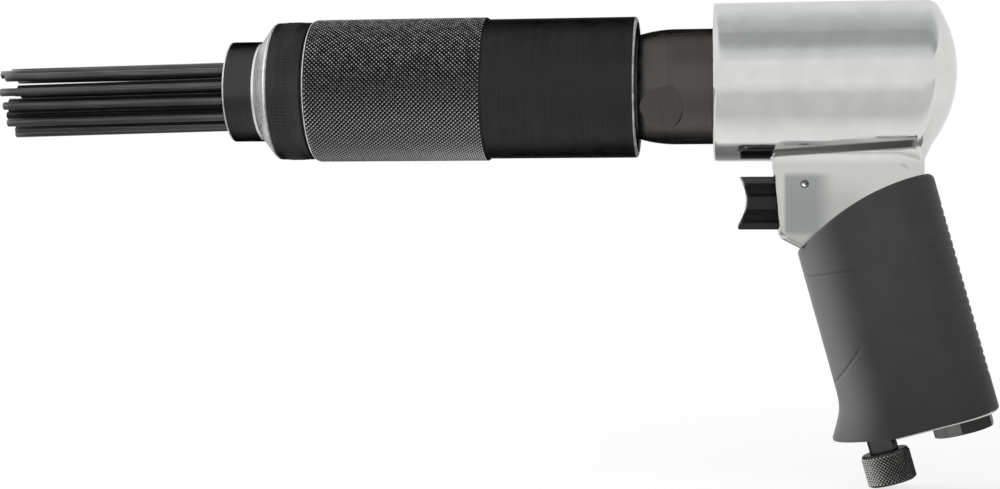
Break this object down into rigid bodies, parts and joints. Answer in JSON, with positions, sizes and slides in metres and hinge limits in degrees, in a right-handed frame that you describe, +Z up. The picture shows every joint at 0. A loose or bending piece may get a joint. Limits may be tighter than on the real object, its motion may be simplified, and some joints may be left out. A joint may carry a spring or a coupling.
{
  "type": "needle scaler",
  "caption": "Pistol-grip air needle scaler: a bundle of loose steel needles in a knurled barrel sleeve, with a polished housing, rubber grip, trigger and air regulator.",
  "frame": {"origin": "centre of the nose collar's front face, on the barrel axis", "axes": "+X back along the barrel to the housing, +Z up, the grip hangs towards -Z, +Y across the tool"},
  "size_m": [0.3767, 0.0582, 0.1774],
  "materials": {
    "black_steel": "blackened, satin",
    "bright_steel": "polished",
    "knurled_steel": "blackened, knurled, peaks worn bright",
    "satin_black_steel": "smooth satin black",
    "barrel_steel": "dark oxide",
    "needle_steel": "dark drawn wire",
    "hard_steel": "ground",
    "spring_steel": "drawn wire",
    "polished_aluminium": "polished casting",
    "grip_rubber": "moulded, matt",
    "trigger_plastic": "satin moulded",
    "brass": "turned",
    "seal_rubber": "moulded"
  },
  "bodies": {
    "tool_body": {"nose_collar": "black_steel", "shoulder_cap": "bright_steel", "lock_ring": "black_steel", "knurled_sleeve": "knurled_steel", "rear_sleeve": "satin_black_steel", "needle_spring": "spring_steel", "barrel": "barrel_steel", "valve_block": "hard_steel", "valve_cap": "hard_steel", "housing": "polished_aluminium", "rubber_grip": "grip_rubber", "trigger_pin": "bright_steel", "throttle_seat": "brass", "throttle_spring": "spring_steel", "inlet_bushing": "black_steel", "inlet_screen": "brass"},
    "needle_carrier": {"needle_holder": "hard_steel"},
    "anvil": {"anvil": "hard_steel"},
    "piston": {"piston": "hard_steel"},
    "valve_disc": {"valve_disc": "hard_steel"},
    "trigger": {"trigger": "trigger_plastic", "throttle_stem": "hard_steel", "throttle_seal": "seal_rubber"},
    "regulator_slider": {"regulator_seal": "seal_rubber"},
    "regulator": {"regulator_knob": "black_steel"},
    "needle_01": {"needle_01": "needle_steel"},
    "needle_02": {"needle_02": "needle_steel"},
    "needle_03": {"needle_03": "needle_steel"},
    "needle_04": {"needle_04": "needle_steel"},
    "needle_05": {"needle_05": "needle_steel"},
    "needle_06": {"needle_06": "needle_steel"},
    "needle_07": {"needle_07": "needle_steel"},
    "needle_08": {"needle_08": "needle_steel"},
    "needle_09": {"needle_09": "needle_steel"},
    "needle_10": {"needle_10": "needle_steel"},
    "needle_11": {"needle_11": "needle_steel"},
    "needle_12": {"needle_12": "needle_steel"},
    "needle_13": {"needle_13": "needle_steel"},
    "needle_14": {"needle_14": "needle_steel"},
    "needle_15": {"needle_15": "needle_steel"},
    "needle_16": {"needle_16": "needle_steel"},
    "needle_17": {"needle_17": "needle_steel"},
    "needle_18": {"needle_18": "needle_steel"},
    "needle_19": {"needle_19": "needle_steel"}
  },
  "joints": [
    {"name": "holder_slide", "type": "slide", "parent": "tool_body", "child": "needle_carrier", "axis": [-1, 0, 0], "range_m": [0, 0.006], "stiffness_N_per_m": 2000, "springref_m": -0.004, "deforming": ["needle_spring"]},
    {"name": "anvil_slide", "type": "slide", "parent": "tool_body", "child": "anvil", "axis": [-1, 0, 0], "range_m": [0, 0.006]},
    {"name": "piston_slide", "type": "slide", "parent": "tool_body", "child": "piston", "axis": [-1, 0, 0], "range_m": [0, 0.0435]},
    {"name": "valve_shuttle", "type": "slide", "parent": "tool_body", "child": "valve_disc", "axis": [1, 0, 0], "range_m": [-0.0004, 0.0004]},
    {"name": "trigger_slide", "type": "slide", "parent": "tool_body", "child": "trigger", "axis": [1, 0, 0], "range_m": [0, 0.005], "stiffness_N_per_m": 500, "springref_m": -0.004, "deforming": ["throttle_spring"]},
    {"name": "regulator_lift", "type": "slide", "parent": "tool_body", "child": "regulator_slider", "axis": [-0.2672, 0, 0.9636], "range_m": [-0.001, 0.003]},
    {"name": "regulator_turn", "type": "hinge", "parent": "regulator_slider", "child": "regulator", "pos_m": [0.24202, 0, -0.12879], "axis": [-0.2672, 0, 0.9636], "range_deg": [-400, 1120]},
    {"name": "needle_01_slide", "type": "slide", "parent": "needle_carrier", "child": "needle_01", "axis": [0.9999, -0.0012, 0.0172], "range_m": [-0.0035, 0.0044]},
    {"name": "needle_02_slide", "type": "slide", "parent": "needle_carrier", "child": "needle_02", "axis": [0.9997, 0.0031, 0.0227], "range_m": [-0.00734, 0.00056]},
    {"name": "needle_03_slide", "type": "slide", "parent": "needle_carrier", "child": "needle_03", "axis": [0.9999, -0.0024, 0.0154], "range_m": [-0.00774, 0.00016]},
    {"name": "needle_04_slide", "type": "slide", "parent": "needle_carrier", "child": "needle_04", "axis": [0.9998, 0.0006, 0.019], "range_m": [-0.00582, 0.00208]},
    {"name": "needle_05_slide", "type": "slide", "parent": "needle_carrier", "child": "needle_05", "axis": [0.9999, 0.0018, 0.0114], "range_m": [-0.00294, 0.00496]},
    {"name": "needle_06_slide", "type": "slide", "parent": "needle_carrier", "child": "needle_06", "axis": [0.9998, -0.0037, 0.0178], "range_m": [-0.00414, 0.00376]},
    {"name": "needle_07_slide", "type": "slide", "parent": "needle_carrier", "child": "needle_07", "axis": [0.9999, 0.0012, 0.0147], "range_m": [-0.0063, 0.0016]},
    {"name": "needle_08_slide", "type": "slide", "parent": "needle_carrier", "child": "needle_08", "axis": [0.9997, -0.0031, 0.0225], "range_m": [-0.0015, 0.0064]},
    {"name": "needle_09_slide", "type": "slide", "parent": "needle_carrier", "child": "needle_09", "axis": [0.9999, 0.0024, 0.0154], "range_m": [-0.0059, 0.002]},
    {"name": "needle_10_slide", "type": "slide", "parent": "needle_carrier", "child": "needle_10", "axis": [0.9998, 0.0012, 0.0184], "range_m": [-0.00494, 0.00296]},
    {"name": "needle_11_slide", "type": "slide", "parent": "needle_carrier", "child": "needle_11", "axis": [0.9999, -0.0018, 0.0126], "range_m": [-0.00606, 0.00184]},
    {"name": "needle_12_slide", "type": "slide", "parent": "needle_carrier", "child": "needle_12", "axis": [0.9998, 0.0037, 0.0184], "range_m": [-0.00678, 0.00112]},
    {"name": "needle_13_slide", "type": "slide", "parent": "needle_carrier", "child": "needle_13", "axis": [0.9999, 0.0006, 0.0141], "range_m": [-0.00766, 0.00024]},
    {"name": "needle_14_slide", "type": "slide", "parent": "needle_carrier", "child": "needle_14", "axis": [0.9998, -0.0024, 0.0196], "range_m": [-0.00486, 0.00304]},
    {"name": "needle_15_slide", "type": "slide", "parent": "needle_carrier", "child": "needle_15", "axis": [0.9999, 0.0031, 0.016], "range_m": [-0.0055, 0.0024]},
    {"name": "needle_16_slide", "type": "slide", "parent": "needle_carrier", "child": "needle_16", "axis": [0.9998, -0.0012, 0.0202], "range_m": [-0.0019, 0.006]},
    {"name": "needle_17_slide", "type": "slide", "parent": "needle_carrier", "child": "needle_17", "axis": [0.9999, 0.0018, 0.0135], "range_m": [-0.0043, 0.0036]},
    {"name": "needle_18_slide", "type": "slide", "parent": "needle_carrier", "child": "needle_18", "axis": [0.9999, -0.0037, 0.0105], "range_m": [-0.0035, 0.0044]},
    {"name": "needle_19_slide", "type": "slide", "parent": "needle_carrier", "child": "needle_19", "axis": [0.9999, 0.0024, 0.0154], "range_m": [-0.00358, 0.00432]}
  ],
  "couplings": [
    {"joint": "anvil_slide", "follows": "holder_slide", "ratio": 1},
    {"joint": "regulator_turn", "follows": "regulator_lift", "rad_per_m": 6283.2}
  ]
}
